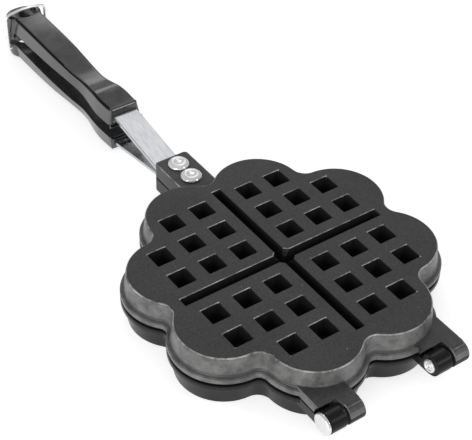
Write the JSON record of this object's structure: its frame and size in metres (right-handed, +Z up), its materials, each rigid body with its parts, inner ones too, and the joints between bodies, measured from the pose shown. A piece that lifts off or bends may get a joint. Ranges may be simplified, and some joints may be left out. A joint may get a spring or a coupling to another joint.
{
  "type": "stovetop waffle iron",
  "caption": "Hinged stovetop waffle iron: two scalloped cast plates that mould hearts, on riveted steel straps with long dark grips that a swinging wire bail holds shut",
  "frame": {"origin": "The middle of the bottom of the bounding box, with the iron closed and lying on its lower plate", "axes": "+X runs from the handles to the hinge, +Z is up, and +Y is to the left when looking along +X"},
  "size_m": [0.416, 0.1716, 0.0368],
  "materials": {
    "upper_coating": "cast metal with a dark grey satin non-stick coating",
    "lower_coating": "cast metal with a dark grey semi-gloss non-stick coating",
    "satin_steel": "satin flat bar",
    "polished_steel": "bright drawn and headed steel",
    "phenolic": "glossy black moulded heat-proof plastic"
  },
  "bodies": {
    "lower_half": {"lower_plate": "lower_coating", "lower_strap": "satin_steel", "lower_grip": "phenolic", "lower_lug_rivet_front": "polished_steel", "lower_lug_rivet_rear": "polished_steel", "lower_grip_screw": "polished_steel", "left_hinge_pin": "polished_steel", "right_hinge_pin": "polished_steel"},
    "upper_half": {"upper_plate": "upper_coating", "upper_strap": "satin_steel", "upper_grip": "phenolic", "upper_lug_rivet_front": "polished_steel", "upper_lug_rivet_rear": "polished_steel", "upper_grip_screw": "polished_steel"},
    "latch": {"latch_bail": "polished_steel"}
  },
  "joints": [
    {"name": "main_hinge", "type": "hinge", "parent": "lower_half", "child": "upper_half", "pos_m": [0.20165, 0, 0.0164], "axis": [0, 1, 0], "range_deg": [0, 175]},
    {"name": "bail_pivot", "type": "hinge", "parent": "lower_half", "child": "latch", "pos_m": [-0.19165, 0, 0.0084], "axis": [0, -1, 0], "range_deg": [0, 240]}
  ]
}
